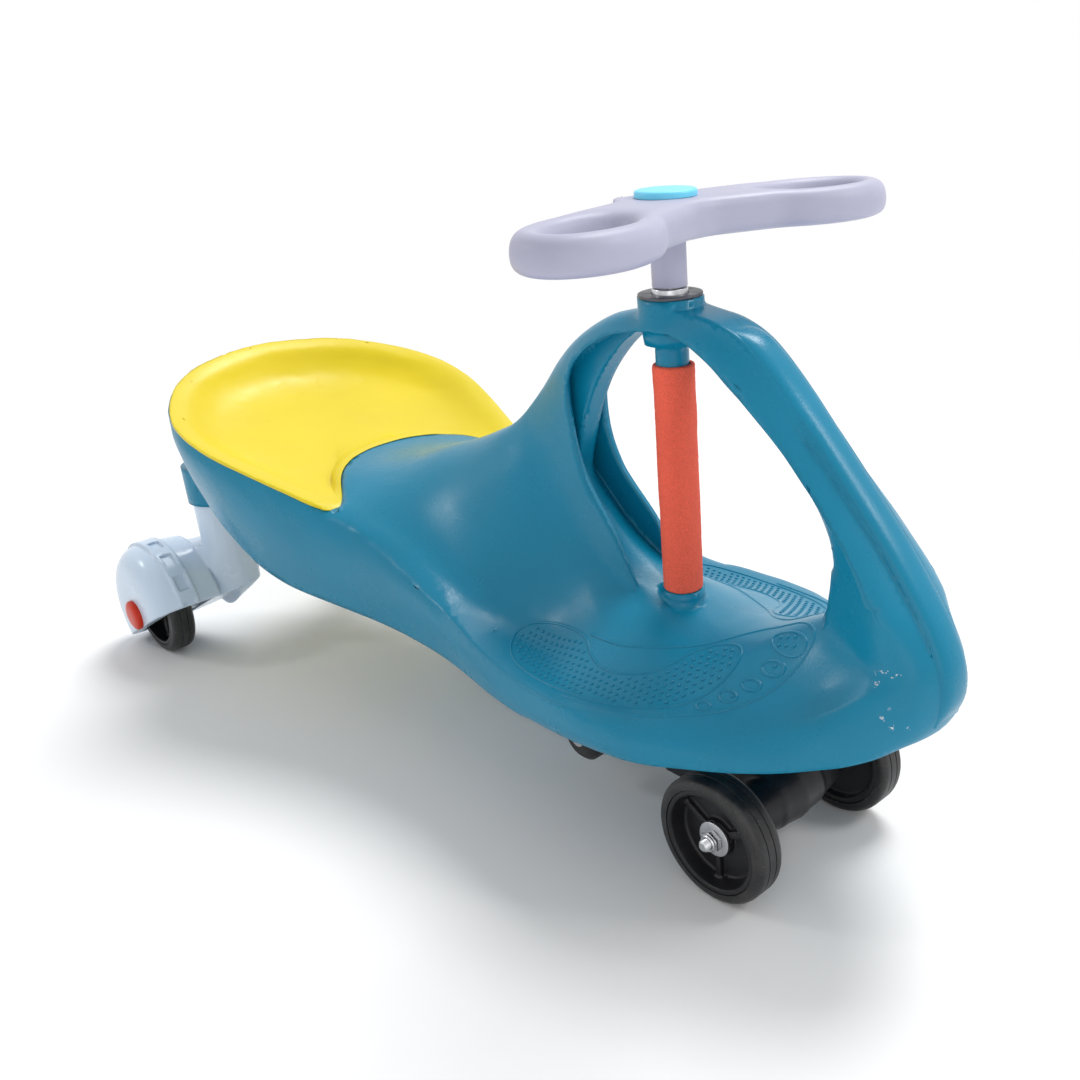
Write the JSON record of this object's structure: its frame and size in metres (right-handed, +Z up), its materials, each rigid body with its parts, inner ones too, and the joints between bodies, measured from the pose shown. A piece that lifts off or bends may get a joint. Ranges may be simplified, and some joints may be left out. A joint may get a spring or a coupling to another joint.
{
  "type": "wiggle car",
  "caption": "Ride-on wiggle car for a child: a moulded body with a dished seat and an arch, a swinging handle on a column, a steered front truck, and rear wheels in domed pods.",
  "frame": {"origin": "on the ground, under the middle of the car's length and width", "axes": "+X forward to the nose, +Y to the rider's left, +Z up"},
  "size_m": [0.8155, 0.346, 0.421],
  "materials": {
    "teal_plastic": "semi-gloss moulded",
    "yellow_plastic": "semi-gloss moulded",
    "coral_foam": "matt open foam",
    "lilac_plastic": "satin moulded",
    "sky_plastic": "semi-gloss moulded",
    "pale_blue_plastic": "glossy moulded",
    "orange_plastic": "glossy moulded",
    "black_tyre": "satin hard tyre",
    "black_plastic": "satin moulded",
    "white_plastic": "matt moulded",
    "dark_washer": "dark oxide",
    "zinc_steel": "zinc plated"
  },
  "bodies": {
    "chassis": {"body_shell": "teal_plastic", "seat_panel": "yellow_plastic", "column_tube": "teal_plastic", "foam_sleeve": "coral_foam", "upper_bush": "zinc_steel", "hub_washer": "dark_washer", "lower_bush": "white_plastic", "rear_pod_right": "pale_blue_plastic", "rear_pod_left": "pale_blue_plastic", "rear_axle_right": "zinc_steel", "rear_axle_left": "zinc_steel", "axle_cap_right": "orange_plastic", "axle_cap_left": "orange_plastic", "pod_screws": "zinc_steel"},
    "steering": {"steering_wheel": "lilac_plastic", "wheel_cap": "sky_plastic", "handle_bolt": "zinc_steel", "wheel_stem": "lilac_plastic", "steering_shaft": "zinc_steel", "lock_pin": "zinc_steel", "front_truck": "black_plastic", "thrust_washer": "white_plastic", "front_axle": "zinc_steel", "axle_nuts": "zinc_steel", "axle_washers": "zinc_steel", "balance_axle": "zinc_steel", "balance_clips": "zinc_steel"},
    "front_wheel_right": {"front_hub_right": "black_plastic", "front_tyre_right": "black_tyre"},
    "front_wheel_left": {"front_hub_left": "black_plastic", "front_tyre_left": "black_tyre"},
    "balance_wheel_body_right": {"balance_wheel_right": "black_tyre"},
    "balance_wheel_body_left": {"balance_wheel_left": "black_tyre"},
    "rear_wheel_right": {"rear_hub_right": "black_plastic", "rear_tyre_right": "black_tyre"},
    "rear_wheel_left": {"rear_hub_left": "black_plastic", "rear_tyre_left": "black_tyre"}
  },
  "joints": [
    {"name": "steering_turn", "type": "hinge", "parent": "chassis", "child": "steering", "pos_m": [0.20275, 0, 0.3], "axis": [0, 0, 1], "continuous": true},
    {"name": "front_roll_right", "type": "hinge", "parent": "steering", "child": "front_wheel_right", "pos_m": [0.28675, -0.064, 0.0435], "axis": [0, 1, 0], "continuous": true},
    {"name": "front_roll_left", "type": "hinge", "parent": "steering", "child": "front_wheel_left", "pos_m": [0.28675, 0.064, 0.0435], "axis": [0, 1, 0], "continuous": true},
    {"name": "balance_roll_right", "type": "hinge", "parent": "steering", "child": "balance_wheel_body_right", "pos_m": [0.13675, -0.038, 0.046], "axis": [0, 1, 0], "continuous": true},
    {"name": "balance_roll_left", "type": "hinge", "parent": "steering", "child": "balance_wheel_body_left", "pos_m": [0.13675, 0.038, 0.046], "axis": [0, 1, 0], "continuous": true},
    {"name": "rear_roll_right", "type": "hinge", "parent": "chassis", "child": "rear_wheel_right", "pos_m": [-0.34425, -0.143, 0.0435], "axis": [0, 1, 0], "continuous": true},
    {"name": "rear_roll_left", "type": "hinge", "parent": "chassis", "child": "rear_wheel_left", "pos_m": [-0.34425, 0.143, 0.0435], "axis": [0, 1, 0], "continuous": true}
  ]
}
